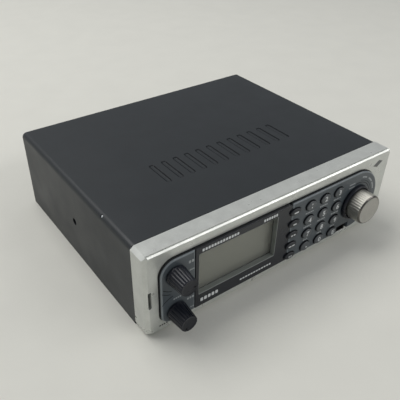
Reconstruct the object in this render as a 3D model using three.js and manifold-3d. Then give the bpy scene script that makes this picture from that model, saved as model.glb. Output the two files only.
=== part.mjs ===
// A base / mobile communications receiver (police scanner), in millimetres, +Z up.
// The front faces -Y and +X is to the right of a person facing the front.
// Everything is laid out from the bezel's front face (Y = 0, the body runs to +Y), and the whole
// group is moved at the end so that the origin is at the middle of the footprint.

import * as THREE from 'three';
import { mergeVertices } from 'three/addons/utils/BufferGeometryUtils.js';
import Module from 'manifold-3d';

const wasm = await Module();
wasm.setup();

// ---------------------------------------------------------------- driving dimensions

const GAP = 0.3;                  // play left between pieces that touch

const WIDTH = 184;                // bezel, the widest piece
const BEZEL_HEIGHT = 54.5;
const BEZEL_DEPTH = 12.1;
const BEZEL_WALL = 1.5;
const BEZEL_FRONT = 2.8;          // thickness of the bezel's front wall
const BEZEL_EDGE = 1.8;           // rounding of the front edges
const TOP_CORNER = 2.5;
const BOTTOM_CORNER = 3.5;

const BODY_HALF = 91.7;           // half width of the steel case
const COVER_FRONT = 12.9;
const COVER_REAR = 152;
const COVER_TOP = 54;
const SHEET = 1.2;
const BEND = 3.2;                 // outer radius of the folded edges

const FASCIA_Y = -2;              // front face of the dark raised panel
const FASCIA_BACK = 2.5;
const FASCIA_SKIN = 2;
const FASCIA_RIM = 1.4;
const FASCIA_LEFT = -84;
const FASCIA_BOTTOM = 7;
const FASCIA_TOP = 48.1;
const FASCIA_EDGE = 0.8;
const SEAM_LEFT = -63.2;          // between the knob fascia and the display frame
const SEAM_RIGHT = 3.9;           // between the display frame and the keypad fascia

const DISPLAY = { x0: -60.8, x1: -7, z0: 16.2, z1: 43.9 };
const LENS_Y = 1.4;
const LENS_THICK = 1;
const LENS_LEDGE = 1;

const DIAL_X = -75.2;             // squelch and volume axes
const SQUELCH_Z = 38.4;
const VOLUME_Z = 13.5;
const DIAL_FRONT = -13.8;
const DIAL_FOOT_RADIUS = 5.95;
const DIAL_FACE_RADIUS = 4.95;
const DIAL_FLUTES = 16;
const DIAL_FLUTE_DEPTH = 0.35;

const SCROLL_X = 60.4;
const SCROLL_Z = 27.2;
const SCROLL_FRONT = -14;
const SCROLL_BACK = -3.3;
const SCROLL_RADIUS = 10;
const SCROLL_FLUTES = 36;
const SCROLL_FLUTE_DEPTH = 0.25;
const SCROLL_PUSH = 0.6;
const SHAFT_RADIUS = 3;

const KEY_COLUMNS = [18.8, 30.7, 42.6];
const KEY_ROWS = [41.4, 31.1, 21, 11.2];
const KEY_NAMES = ['1', '2', '3', '4', '5', '6', '7', '8', '9', 'dot', '0', 'enter'];
const KEY_HALF = { x: 3.9, z: 3.2 };
const FN_X = 6;
const FN_ROWS = [42.4, 34.1, 26, 17.9, 9.9];
const FN_HALF = { x: 4.2, z: 2.25 };
const KEY_RISE = 1.35;            // how far a key stands above the fascia
const KEY_PLAY = 0.35;
const KEY_LIP = 0.8;              // how far the lips behind the skin reach past the head, to each side

const MAT_Y = 3.3;
const KEYPAD_PCB_Y = 4.6;
const PCB = 1.6;
const FRONT_PCB_Y = 9.9;
const POCKET = { x0: 48, x1: 58.7, z0: 5, z1: 12 };   // round the small port, lower right
const POCKET_SILL = 46.3;         // where the notch in the bezel begins, left of the pocket
const POCKET_FLOOR = 2.8;
const POCKET_RIM = 0.8;

const MAIN_PCB_Z = 28;
const REAR_PANEL_Y = 149.5;
const REAR_PANEL = 1.5;
const ANTENNA_END = 162;

const SPEAKER = { x: -28, y: 78, radius: 28.5 };
const MOUNT_HOLE = { y: 80.4, z: 26.5, radius: 2.25 };

const SLOT = { x: 89.4, half: 0.85, z0: 20.7, z1: 32 };   // for the tool that frees the bezel
const RIB = { count: 12, pitch: 8.4, x: 2, y: 59.5, halfX: 2.1, halfY: 11, sink: 0.45 };

// ---------------------------------------------------------------- colours

const SILVER = { color: 0xa9aca8, roughness: 0.42, metalness: 0.45 };
const CHARCOAL = { color: 0x36393b, roughness: 0.6, metalness: 0.25 };
const DARK_GREY = { color: 0x44484b, roughness: 0.5, metalness: 0.1 };
const BLACK = { color: 0x17181b, roughness: 0.35, metalness: 0 };
const GLASS = { color: 0x6b6b5c, roughness: 0.1, metalness: 0 };
const OLIVE = { color: 0x5f5f55, roughness: 0.3, metalness: 0 };
const STEEL = { color: 0xb9bcbf, roughness: 0.3, metalness: 0.9 };
const NICKEL = { color: 0xc9c7c0, roughness: 0.25, metalness: 1 };
const RUBBER = { color: 0x2b2b2d, roughness: 0.85, metalness: 0 };
const BOARD = { color: 0x1f5a37, roughness: 0.5, metalness: 0 };
const PAPER = { color: 0x232222, roughness: 0.9, metalness: 0 };
const WHITE = { color: 0xe4e2da, roughness: 0.6, metalness: 0 };

// ---------------------------------------------------------------- solids

function toSolid(geometry) {
  geometry.deleteAttribute('normal');
  geometry.deleteAttribute('uv');
  const merged = mergeVertices(geometry, 1e-4);
  const corners = Array.from(merged.index.array);
  const kept = [];
  for (let i = 0; i < corners.length; i += 3) {
    const [a, b, c] = corners.slice(i, i + 3);
    if (a !== b && b !== c && c !== a) {
      kept.push(a, b, c);
    }
  }
  const mesh = new wasm.Mesh({
    numProp: 3,
    vertProperties: new Float32Array(merged.attributes.position.array),
    triVerts: new Uint32Array(kept),
  });
  return new wasm.Manifold(mesh);
}

function toGeometry(solid) {
  const mesh = solid.getMesh();
  const geometry = new THREE.BufferGeometry();
  geometry.setAttribute('position', new THREE.BufferAttribute(new Float32Array(mesh.vertProperties), 3));
  geometry.setIndex(new THREE.BufferAttribute(new Uint32Array(mesh.triVerts), 1));
  return geometry;
}

function box(x0, x1, y0, y1, z0, z1) {
  const geometry = new THREE.BoxGeometry(x1 - x0, y1 - y0, z1 - z0);
  geometry.translate((x0 + x1) / 2, (y0 + y1) / 2, (z0 + z1) / 2);
  return toSolid(geometry);
}

// A rod along Y, Z or X between two stations.
function rodY(x, z, radius, y0, y1, sides = 24) {
  const geometry = new THREE.CylinderGeometry(radius, radius, y1 - y0, sides);
  geometry.translate(x, (y0 + y1) / 2, z);
  return toSolid(geometry);
}

function rodZ(x, y, radius, z0, z1, sides = 24) {
  const geometry = new THREE.CylinderGeometry(radius, radius, z1 - z0, sides);
  geometry.rotateX(Math.PI / 2);
  geometry.translate(x, y, (z0 + z1) / 2);
  return toSolid(geometry);
}

function rodX(y, z, radius, x0, x1, sides = 16) {
  const geometry = new THREE.CylinderGeometry(radius, radius, x1 - x0, sides);
  geometry.rotateZ(Math.PI / 2);
  geometry.translate((x0 + x1) / 2, y, z);
  return toSolid(geometry);
}

// A turned solid round an axis along Y; profile points are [radius, y], front to back.
function turnedY(x, z, profile, sides = 24) {
  const points = profile.map(([radius, y]) => new THREE.Vector2(radius, y));
  const geometry = new THREE.LatheGeometry(points, sides);
  geometry.translate(x, 0, z);
  return toSolid(geometry);
}

// A turned solid round an axis along Z; profile points are [radius, z], low to high.
function turnedZ(x, y, profile, sides = 24) {
  const points = profile.map(([radius, z]) => new THREE.Vector2(radius, z));
  const geometry = new THREE.LatheGeometry(points, sides);
  geometry.rotateX(Math.PI / 2);
  geometry.translate(x, y, 0);
  return toSolid(geometry);
}

// A plate whose outline is drawn in X and Z, from y0 back to y1, with its front edge rounded.
function plate(shape, y0, y1, edge = 0, curveSegments = 5) {
  const geometry = new THREE.ExtrudeGeometry(shape, {
    depth: y1 - y0 - edge,
    bevelEnabled: edge > 0,
    bevelThickness: edge,
    bevelSize: edge,
    bevelOffset: -edge,
    bevelSegments: 2,
    curveSegments,
  });
  geometry.rotateX(Math.PI / 2);
  geometry.translate(0, y1, 0);
  const whole = toSolid(geometry);
  if (edge === 0) {
    return whole;
  }
  return whole.subtract(box(-200, 200, y1, y1 + 2 * edge, -50, 150));
}

function roundedRect(x0, x1, z0, z1, bottomRadius, topRadius = bottomRadius) {
  const shape = new THREE.Shape();
  shape.moveTo(x0 + bottomRadius, z0);
  shape.lineTo(x1 - bottomRadius, z0);
  shape.absarc(x1 - bottomRadius, z0 + bottomRadius, bottomRadius, -Math.PI / 2, 0, false);
  shape.absarc(x1 - topRadius, z1 - topRadius, topRadius, 0, Math.PI / 2, false);
  shape.absarc(x0 + topRadius, z1 - topRadius, topRadius, Math.PI / 2, Math.PI, false);
  shape.absarc(x0 + bottomRadius, z0 + bottomRadius, bottomRadius, Math.PI, 1.5 * Math.PI, false);
  return shape;
}

function ellipse(x, z, halfX, halfZ) {
  const shape = new THREE.Shape();
  shape.absellipse(x, z, halfX, halfZ, 0, 2 * Math.PI, false, 0);
  return shape;
}

function union(solids) {
  return solids.reduce((whole, solid) => whole.add(solid));
}

function cut(solid, tools) {
  return tools.reduce((whole, tool) => whole.subtract(tool), solid);
}

// ---------------------------------------------------------------- group

const scanner = new THREE.Group();
const layout = new THREE.Group();
scanner.add(layout);

function part(name, solid, look) {
  const mesh = new THREE.Mesh(toGeometry(solid), new THREE.MeshStandardMaterial(look));
  mesh.name = name;
  layout.add(mesh);
}

// ---------------------------------------------------------------- front panel

// Outline of the dark raised panel: rounded at the left, a half circle at the right.
function fasciaOutline(grow) {
  const left = FASCIA_LEFT - grow;
  const bottom = FASCIA_BOTTOM - grow;
  const top = FASCIA_TOP + grow;
  const endRadius = (top - bottom) / 2;
  const middle = (top + bottom) / 2;
  const topRadius = 9 + grow;
  const bottomRadius = 6 + grow;
  const shape = new THREE.Shape();
  shape.moveTo(left + bottomRadius, bottom);
  shape.lineTo(SCROLL_X, bottom);
  shape.absarc(SCROLL_X, middle, endRadius, -Math.PI / 2, Math.PI / 2, false);
  shape.absarc(left + topRadius, top - topRadius, topRadius, Math.PI / 2, Math.PI, false);
  shape.absarc(left + bottomRadius, bottom + bottomRadius, bottomRadius, Math.PI, 1.5 * Math.PI, false);
  return shape;
}

const pocket = box(POCKET.x0, POCKET.x1, FASCIA_Y - 1, BEZEL_FRONT + 1, POCKET.z0, POCKET.z1);

function frontBezel() {
  const half = WIDTH / 2;
  const outline = roundedRect(-half, half, 0, BEZEL_HEIGHT, BOTTOM_CORNER, TOP_CORNER);
  const block = plate(outline, 0, BEZEL_DEPTH, BEZEL_EDGE, 4);
  const inside = half - BEZEL_WALL;
  const cavity = box(-inside, inside, BEZEL_FRONT, BEZEL_DEPTH + 1, BEZEL_WALL, BEZEL_HEIGHT - BEZEL_WALL);
  const window = plate(fasciaOutline(GAP), -1, BEZEL_FRONT + 1);
  const sill = box(POCKET_SILL, POCKET.x1, -1, BEZEL_FRONT + 1, POCKET.z0, FASCIA_BOTTOM + 1);
  const slot = box(-SLOT.x - SLOT.half, -SLOT.x + SLOT.half, -1, BEZEL_FRONT + 1, SLOT.z0, SLOT.z1);
  return cut(block, [cavity, window, sill, slot]);
}

// One piece of the raised panel: a skin with a rim round its back, cut off at its seams.
function fasciaPiece(x0, x1, tools) {
  const skin = plate(fasciaOutline(0), FASCIA_Y, FASCIA_BACK, FASCIA_EDGE);
  const hollow = plate(fasciaOutline(-FASCIA_RIM), FASCIA_Y + FASCIA_SKIN, FASCIA_BACK + 1);
  const between = box(x0, x1, FASCIA_Y - 1, FASCIA_BACK + 1, 0, BEZEL_HEIGHT);
  return cut(skin.subtract(hollow).intersect(between), tools);
}

// The hole that a key's head moves in, and the wider room behind the skin for its side lips.
function keyWell({ x, z, half }) {
  const head = ellipse(x, z, half.x + KEY_PLAY, half.z + KEY_PLAY);
  const room = ellipse(x, z, half.x + KEY_LIP + GAP, half.z + KEY_PLAY);
  const skinBack = FASCIA_Y + FASCIA_SKIN;
  return plate(head, FASCIA_Y - 1, FASCIA_BACK + 1, 0, 8).add(plate(room, skinBack, FASCIA_BACK + 1, 0, 8));
}

const numberKeys = KEY_NAMES.map((name, index) => ({
  name: `key_${name}`,
  x: KEY_COLUMNS[index % KEY_COLUMNS.length],
  z: KEY_ROWS[Math.floor(index / KEY_COLUMNS.length)],
  half: KEY_HALF,
}));
const functionKeys = FN_ROWS.map((z, index) => ({
  name: `key_fn_${index + 1}`,
  x: FN_X,
  z,
  half: FN_HALF,
}));

const functionWells = functionKeys.map(keyWell);
const numberWells = numberKeys.map(keyWell);

function knobFascia() {
  const bushings = [SQUELCH_Z, VOLUME_Z].map((z) => rodY(DIAL_X, z, 4, FASCIA_Y - 1, FASCIA_BACK + 1));
  return fasciaPiece(FASCIA_LEFT - 1, SEAM_LEFT - GAP / 2, bushings);
}

function displayFrame() {
  const opening = box(DISPLAY.x0, DISPLAY.x1, FASCIA_Y - 1, FASCIA_BACK + 1, DISPLAY.z0, DISPLAY.z1);
  const surround = box(DISPLAY.x0 - 2.2, DISPLAY.x1 + 2.2, FASCIA_Y, FASCIA_BACK,
    DISPLAY.z0 - 2.2, DISPLAY.z1 + 2.2);
  const ledge = box(DISPLAY.x0 - LENS_LEDGE, DISPLAY.x1 + LENS_LEDGE, LENS_Y - GAP, FASCIA_BACK + 1,
    DISPLAY.z0 - LENS_LEDGE, DISPLAY.z1 + LENS_LEDGE);
  const rim = fasciaPiece(SEAM_LEFT + GAP / 2, SEAM_RIGHT - GAP / 2, []);
  return cut(rim.add(surround), [opening, ledge, ...functionWells]);
}

function keypadFascia() {
  const bushing = rodY(SCROLL_X, SCROLL_Z, 5, FASCIA_Y - 1, FASCIA_BACK + 1);
  return fasciaPiece(SEAM_RIGHT + GAP / 2, WIDTH / 2, [bushing, pocket, ...functionWells, ...numberWells]);
}

function displayLens() {
  const reach = LENS_LEDGE - GAP;
  return box(DISPLAY.x0 - reach, DISPLAY.x1 + reach, LENS_Y, LENS_Y + LENS_THICK,
    DISPLAY.z0 - reach, DISPLAY.z1 + reach);
}

// A key cap: a crowned oval head on a stem, with side lips that keep it in the fascia.
function keyCap(key) {
  const head = FASCIA_Y - KEY_RISE;
  const skinBack = FASCIA_Y + FASCIA_SKIN;
  const profile = [
    [0, head],
    [0.8, head + 0.1],
    [1, head + 0.5],
    [1, skinBack + 1.1],
    [0, skinBack + 1.1],
  ];
  const points = profile.map(([radius, y]) => new THREE.Vector2(radius, y));
  const stem = new THREE.LatheGeometry(points, 16);
  stem.scale(key.half.x, 1, key.half.z);
  stem.translate(key.x, 0, key.z);
  const lips = ellipse(key.x, key.z, key.half.x + KEY_LIP, key.half.z);
  return toSolid(stem).add(plate(lips, skinBack + GAP, skinBack + 1.1, 0, 8));
}

// Turned knobs with flutes: every vertex of a fluted ring is pulled in between two ribs.
function flutedKnob(x, z, profile, flutes, depth, boreEnd) {
  const points = profile.map(([radius, y]) => new THREE.Vector2(radius, y));
  const geometry = new THREE.LatheGeometry(points, flutes * 3);
  const position = geometry.attributes.position;
  const outer = Math.max(...profile.map(([radius]) => radius));
  for (let i = 0; i < position.count; i += 1) {
    const px = position.getX(i);
    const pz = position.getZ(i);
    const radius = Math.hypot(px, pz);
    const wave = 0.5 - 0.5 * Math.cos(Math.atan2(pz, px) * flutes);
    if (radius > 0.8 * outer) {
      const scale = (radius - depth * wave) / radius;
      position.setXYZ(i, px * scale, position.getY(i), pz * scale);
    }
  }
  geometry.translate(x, 0, z);
  const back = profile[profile.length - 1][1];
  return toSolid(geometry).subtract(rodY(x, z, SHAFT_RADIUS + GAP, boreEnd, back + 1, 20));
}

function dialKnob(z) {
  const foot = FASCIA_Y - 0.5;
  const profile = [
    [0, DIAL_FRONT],
    [DIAL_FACE_RADIUS - 0.6, DIAL_FRONT],
    [DIAL_FACE_RADIUS, DIAL_FRONT + 0.6],
    [DIAL_FOOT_RADIUS, foot - 0.6],
    [DIAL_FOOT_RADIUS, foot],
    [0, foot],
  ];
  return flutedKnob(DIAL_X, z, profile, DIAL_FLUTES, DIAL_FLUTE_DEPTH, DIAL_FRONT + 2.5);
}

function scrollKnob() {
  const profile = [
    [0, SCROLL_FRONT],
    [SCROLL_RADIUS - 0.9, SCROLL_FRONT],
    [SCROLL_RADIUS - 0.1, SCROLL_FRONT + 0.8],
    [SCROLL_RADIUS, SCROLL_BACK - 1],
    [SCROLL_RADIUS, SCROLL_BACK],
    [0, SCROLL_BACK],
  ];
  return flutedKnob(SCROLL_X, SCROLL_Z, profile, SCROLL_FLUTES, SCROLL_FLUTE_DEPTH, SCROLL_FRONT + 2.5);
}

function scrollCollar() {
  const ring = [
    [10.5, FASCIA_Y - 2.6],
    [11.3, FASCIA_Y - 2.6],
    [12, FASCIA_Y - 1.6],
    [12, FASCIA_Y - GAP],
    [10.5, FASCIA_Y - GAP],
    [10.5, FASCIA_Y - 2.6],
  ];
  return turnedY(SCROLL_X, SCROLL_Z, ring, 36);
}

function potentiometer(z) {
  const body = box(DIAL_X - 5, DIAL_X + 5, 4.4, FRONT_PCB_Y - GAP, z - 5.5, z + 5.5);
  const bushing = rodY(DIAL_X, z, 3.7, -1, 4.5);
  const bore = rodY(DIAL_X, z, SHAFT_RADIUS + GAP, -2, 8.2);
  return body.add(bushing).subtract(bore);
}

function encoderBody() {
  const half = 6;
  const back = FRONT_PCB_Y - GAP;
  const body = box(SCROLL_X - half, SCROLL_X + half, 3.6, back, SCROLL_Z - half, SCROLL_Z + half);
  const bushing = rodY(SCROLL_X, SCROLL_Z, 4.5, -1, 3.7);
  const bore = rodY(SCROLL_X, SCROLL_Z, SHAFT_RADIUS + GAP, -2, FRONT_PCB_Y);
  const rotorRoom = rodY(SCROLL_X, SCROLL_Z, 5, 4.6, FRONT_PCB_Y, 32);
  return cut(body.add(bushing), [bore, rotorRoom]);
}

function encoderRotor() {
  const disc = rodY(SCROLL_X, SCROLL_Z, 4.6, 5, 6.6, 32);
  return disc.subtract(rodY(SCROLL_X, SCROLL_Z, SHAFT_RADIUS + GAP, 4, 8));
}

// The key mat lies between the keys and the keypad board and is cut out round the data port.
function keyMat() {
  const sheet = box(0.5, 48, MAT_Y, MAT_Y + 1, 6.5, 46.5);
  return sheet.subtract(box(POCKET.x0 - 1, 49, MAT_Y - 1, MAT_Y + 2, 0, POCKET.z1 + 1));
}

function keypadBoard() {
  const board = box(0, 50, KEYPAD_PCB_Y, KEYPAD_PCB_Y + PCB, 4.5, 50);
  return board.subtract(box(POCKET.x0 - 1, 51, KEYPAD_PCB_Y - 1, KEYPAD_PCB_Y + PCB + 1, 0, POCKET.z1 + 1));
}

function frontBoard() {
  const half = 88;
  const y0 = FRONT_PCB_Y;
  const y1 = FRONT_PCB_Y + PCB;
  const board = box(-half, half, y0, y1, 3.5, 51);
  const notches = [-half, half].map((x) => box(x - 3, x + 3, y0 - 1, y1 + 1, 0, 9));
  return cut(board, notches);
}

// The port's housing closes the pocket's back and lines it with a rim below and to the right.
function dataPort() {
  const x1 = POCKET.x1 - GAP;
  const z0 = POCKET.z0 + GAP;
  const z1 = POCKET.z1 - GAP;
  const inside = POCKET_FLOOR + 1;
  const housing = box(POCKET.x0 + GAP, x1, POCKET_FLOOR, FRONT_PCB_Y - GAP, z0, z1);
  const lowerRim = box(POCKET_SILL + GAP, x1, 0, inside, z0, z0 + POCKET_RIM);
  const sideRim = box(x1 - POCKET_RIM, x1, 0, inside, z0, z1);
  const shell = box(48.4, 54.2, 0.6, inside, 8, 11.2);
  const socket = box(49, 53.6, 0, 7, 8.6, 10.6);
  return union([housing, lowerRim, sideRim, shell]).subtract(socket);
}

// ---------------------------------------------------------------- case

// The folded cover: top and both sides in one sheet, open at the front, the back and below.
function topCover() {
  const fold = new THREE.Shape();
  const half = BODY_HALF;
  const inner = half - SHEET;
  fold.moveTo(-half, 0);
  fold.lineTo(-inner, 0);
  fold.lineTo(-inner, COVER_TOP - BEND);
  fold.absarc(-half + BEND, COVER_TOP - BEND, BEND - SHEET, Math.PI, Math.PI / 2, true);
  fold.lineTo(half - BEND, COVER_TOP - SHEET);
  fold.absarc(half - BEND, COVER_TOP - BEND, BEND - SHEET, Math.PI / 2, 0, true);
  fold.lineTo(inner, 0);
  fold.lineTo(half, 0);
  fold.lineTo(half, COVER_TOP - BEND);
  fold.absarc(half - BEND, COVER_TOP - BEND, BEND, 0, Math.PI / 2, false);
  fold.lineTo(-half + BEND, COVER_TOP);
  fold.absarc(-half + BEND, COVER_TOP - BEND, BEND, Math.PI / 2, Math.PI, false);
  const sheet = plate(fold, COVER_FRONT, COVER_REAR, 0, 5);
  const mountHole = rodX(MOUNT_HOLE.y, MOUNT_HOLE.z, MOUNT_HOLE.radius, -WIDTH, WIDTH);
  return cut(sheet, [mountHole, ...edgeNotches(), ...pressedBars()]);
}

// A small round relief through each folded edge, over the inner flange.
function edgeNotches() {
  return [-1, 1].map((side) => {
    const notch = new THREE.CylinderGeometry(1.1, 1.1, 8, 12);
    notch.rotateZ(side * -Math.PI / 4);
    notch.translate(side * (BODY_HALF - 1), 43, COVER_TOP - 1);
    return toSolid(notch);
  });
}

// A plain pressed pattern on the top: a row of equal ribs with round ends.
function pressedBars() {
  const bars = [];
  for (let i = 0; i < RIB.count; i += 1) {
    const x = RIB.x + (i - (RIB.count - 1) / 2) * RIB.pitch;
    const bar = roundedRect(x - RIB.halfX, x + RIB.halfX, RIB.y - RIB.halfY, RIB.y + RIB.halfY, RIB.halfX);
    const pressed = new THREE.ExtrudeGeometry(bar, { depth: 1, bevelEnabled: false, curveSegments: 4 });
    pressed.translate(0, 0, COVER_TOP - RIB.sink);
    bars.push(toSolid(pressed));
  }
  return bars;
}

// The bottom sheet lies between the cover's sides, with an upturned flange along each.
function bottomCover() {
  const half = BODY_HALF - SHEET - GAP;
  const floor = box(-half, half, COVER_FRONT + GAP, COVER_REAR - 3.2, 0, SHEET);
  const flanges = [-1, 1].map((side) => {
    const outer = side * half;
    const inside = side * (half - SHEET);
    return box(Math.min(outer, inside), Math.max(outer, inside), COVER_FRONT + 1, 146, 0.2, 34);
  });
  const slots = [];
  for (let row = -4; row <= 4; row += 1) {
    const y = SPEAKER.y + row * 5.2;
    const reach = Math.sqrt((SPEAKER.radius - 4) ** 2 - (row * 5.2) ** 2);
    slots.push(box(SPEAKER.x - reach, SPEAKER.x + reach, y - 1.1, y + 1.1, -1, SHEET + 1));
  }
  const countersink = [[0, -0.4], [3.6, -0.4], [1.7, SHEET + 0.4], [0, SHEET + 0.4]];
  const screwHoles = bottomScrewPlaces().map(([x, y]) => turnedZ(x, y, countersink, 16));
  const mountHole = rodX(MOUNT_HOLE.y, MOUNT_HOLE.z, 3.4, -WIDTH, WIDTH);
  return cut(union([floor, ...flanges]), [mountHole, ...slots, ...screwHoles]);
}

function bottomScrewPlaces() {
  return [[-80, 24], [80, 24], [-80, 138], [80, 138]];
}

// Countersunk screws whose heads lie in the bottom sheet.
function bottomScrew([x, y]) {
  const profile = [[0, 0.1], [2.7, 0.1], [1.4, SHEET + 0.1], [1.4, 6], [0, 6]];
  return turnedZ(x, y, profile, 16);
}

// A pressed-in nut behind each mounting hole: a hexagon inside the flange, its spigot through it.
function mountNut(side) {
  const { y, z } = MOUNT_HOLE;
  const spigotEnd = BODY_HALF - SHEET - GAP;
  const hexEnd = spigotEnd - SHEET - GAP;
  const rod = (radius, from, to, sides) => (
    rodX(y, z, radius, Math.min(side * from, side * to), Math.max(side * from, side * to), sides)
  );
  const hex = rod(4.5, hexEnd - 4, hexEnd, 6);
  const spigot = rod(3, hexEnd - 1, spigotEnd, 16);
  return hex.add(spigot).subtract(rodX(y, z, 2, -WIDTH, WIDTH));
}

const REAR = {
  antenna: { x: 70, z: 36 },
  record: { x: 42, z: 30 },
  speaker: { x: 28, z: 30 },
  serial: { x: -4, z: 32 },
  dc: { x: -38, z: 30 },
  power: { x: -64, z: 32 },
};

function rearPanel() {
  const half = BODY_HALF - SHEET - GAP;
  const y0 = REAR_PANEL_Y;
  const y1 = REAR_PANEL_Y + REAR_PANEL;
  const sheet = box(-half, half, y0, y1, GAP, COVER_TOP - SHEET - GAP);
  const low = COVER_TOP - BEND - 1;
  const corners = [-half, half].map((x) => box(x - 2, x + 2, y0 - 1, y1 + 1, low, COVER_TOP));
  const around = [
    rodY(REAR.antenna.x, REAR.antenna.z, 6 + GAP, y0 - 1, y1 + 1),
    rodY(REAR.record.x, REAR.record.z, 3.6 + GAP, y0 - 1, y1 + 1),
    rodY(REAR.speaker.x, REAR.speaker.z, 3.6 + GAP, y0 - 1, y1 + 1),
    rodY(REAR.dc.x, REAR.dc.z, 5 + GAP, y0 - 1, y1 + 1),
    box(REAR.serial.x - 8.8, REAR.serial.x + 8.8, y0 - 1, y1 + 1, REAR.serial.z - 4.6, REAR.serial.z + 4.6),
    box(REAR.power.x - 6.8, REAR.power.x + 6.8, y0 - 1, y1 + 1, REAR.power.z - 3.8, REAR.power.z + 3.8),
  ];
  return cut(sheet, [...corners, ...around]);
}

// A bayonet antenna socket: flange behind the panel, barrel with two lugs, hollow at its mouth.
function antennaJack() {
  const { x, z } = REAR.antenna;
  const panelBack = REAR_PANEL_Y + REAR_PANEL;
  const barrel = [
    [0, 138],
    [6, 138],
    [6, panelBack + 1.4],
    [4.9, panelBack + 1.4],
    [4.9, ANTENNA_END],
    [4, ANTENNA_END],
    [4, panelBack + 2],
    [1.1, panelBack + 2],
    [1.1, ANTENNA_END - 2],
    [0, ANTENNA_END - 2],
  ];
  const lugs = rodX(ANTENNA_END - 4.5, z, 0.95, x - 5.8, x - 4.4, 10)
    .add(rodX(ANTENNA_END - 4.5, z, 0.95, x + 4.4, x + 5.8, 10));
  return turnedY(x, z, barrel).add(lugs);
}

function roundJack({ x, z }, radius, mouth, depth) {
  const face = REAR_PANEL_Y + REAR_PANEL + 0.8;
  const block = box(x - radius - 1, x + radius + 1, 138, REAR_PANEL_Y - GAP, z - radius - 1, z + radius + 1);
  const nose = rodY(x, z, radius, 139, face);
  return block.add(nose).subtract(rodY(x, z, mouth, face - depth, face + 1, 20));
}

function dcJack() {
  const { x, z } = REAR.dc;
  const face = REAR_PANEL_Y + REAR_PANEL + 0.8;
  return roundJack(REAR.dc, 5, 3.2, 10).add(rodY(x, z, 1.05, face - 11, face - 1, 12));
}

function serialPort() {
  const { x, z } = REAR.serial;
  const panelBack = REAR_PANEL_Y + REAR_PANEL;
  const block = box(x - 15, x + 15, 138, REAR_PANEL_Y - GAP, z - 6, z + 6);
  const shell = new THREE.Shape();
  shell.moveTo(x - 8.4, z + 4.2);
  shell.lineTo(x - 7, z - 4.2);
  shell.lineTo(x + 7, z - 4.2);
  shell.lineTo(x + 8.4, z + 4.2);
  shell.closePath();
  const mouth = new THREE.Shape();
  mouth.moveTo(x - 7.7, z + 3.6);
  mouth.lineTo(x - 6.5, z - 3.6);
  mouth.lineTo(x + 6.5, z - 3.6);
  mouth.lineTo(x + 7.7, z + 3.6);
  mouth.closePath();
  const walls = plate(shell, 140, panelBack + 4.5);
  return block.add(walls).subtract(plate(mouth, panelBack - 1.5, panelBack + 6));
}

function powerConnector() {
  const { x, z } = REAR.power;
  const panelBack = REAR_PANEL_Y + REAR_PANEL;
  const body = box(x - 6.5, x + 6.5, 138, panelBack + 1.5, z - 3.5, z + 3.5);
  const mouth = box(x - 5.6, x + 5.6, panelBack - 6, panelBack + 3, z - 2.6, z + 2.6);
  const pins = [-3.6, 0, 3.6].map((offset) => rodY(x + offset, z, 0.6, panelBack - 7, panelBack, 8));
  return union([body.subtract(mouth), ...pins]);
}

// ---------------------------------------------------------------- inside

function mainBoard() {
  const board = box(-84, 84, 17, 147, MAIN_PCB_Z - PCB, MAIN_PCB_Z);
  const connectorRoom = box(-76, 80, 137, 148, MAIN_PCB_Z - PCB - 1, MAIN_PCB_Z + 1);
  return board.subtract(connectorRoom);
}

function rfShield() {
  const can = box(18, 78, 60, 126, MAIN_PCB_Z + GAP, MAIN_PCB_Z + 12);
  return can.subtract(box(18.5, 77.5, 60.5, 125.5, MAIN_PCB_Z, MAIN_PCB_Z + 11.5));
}

function ribbonCable() {
  const path = new THREE.Shape();
  const back = FRONT_PCB_Y + PCB + GAP;
  const low = MAIN_PCB_Z + GAP;
  path.moveTo(back, 36);
  path.lineTo(back + 0.8, 36);
  path.absarc(back + 5, 36, 4.2, Math.PI, Math.PI / 2, true);
  path.lineTo(back + 9, 40.2);
  path.absarc(back + 9, 36, 4.2, Math.PI / 2, 0, true);
  path.lineTo(back + 13.2, low);
  path.lineTo(back + 14, low);
  path.lineTo(back + 14, 36);
  path.absarc(back + 9, 36, 5, 0, Math.PI / 2, false);
  path.lineTo(back + 5, 41);
  path.absarc(back + 5, 36, 5, Math.PI / 2, Math.PI, false);
  const strip = new THREE.ExtrudeGeometry(path, { depth: 30, bevelEnabled: false, curveSegments: 6 });
  strip.rotateY(Math.PI / 2);
  strip.rotateX(Math.PI / 2);
  strip.translate(-30, 0, 0);
  return toSolid(strip);
}

function speakerBasket() {
  const r = SPEAKER.radius;
  const profile = [
    [r, SHEET + GAP],
    [r, 3.2],
    [r - 3.5, 3.2],
    [14, 14],
    [10, 14],
    [10, 13],
    [13.4, 13],
    [r - 4.6, 2.4],
    [r - 4.6, SHEET + GAP],
    [r, SHEET + GAP],
  ];
  return turnedZ(SPEAKER.x, SPEAKER.y, profile);
}

function speakerCone() {
  const r = SPEAKER.radius - 5;
  const profile = [
    [r, 1.8],
    [r - 2, 2.6],
    [8, 10.5],
    [0, 8.5],
    [0, 7.8],
    [8, 9.6],
    [r - 2.6, 1.9],
    [r, 1.8],
  ];
  return turnedZ(SPEAKER.x, SPEAKER.y, profile);
}

function speakerMagnet() {
  return rodZ(SPEAKER.x, SPEAKER.y, 13.5, 14 + GAP, 23, 32);
}

// ---------------------------------------------------------------- assembly

part('front_bezel', frontBezel(), SILVER);
part('knob_fascia', knobFascia(), DARK_GREY);
part('display_frame', displayFrame(), BLACK);
part('keypad_fascia', keypadFascia(), DARK_GREY);
part('display_lens', displayLens(), GLASS);
part('lcd_glass', box(-63, -5, 2.8, 5, 14, 46), OLIVE);
part('lcd_backlight', box(-63, -5, 5.3, 8.8, 14, 46), WHITE);

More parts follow.
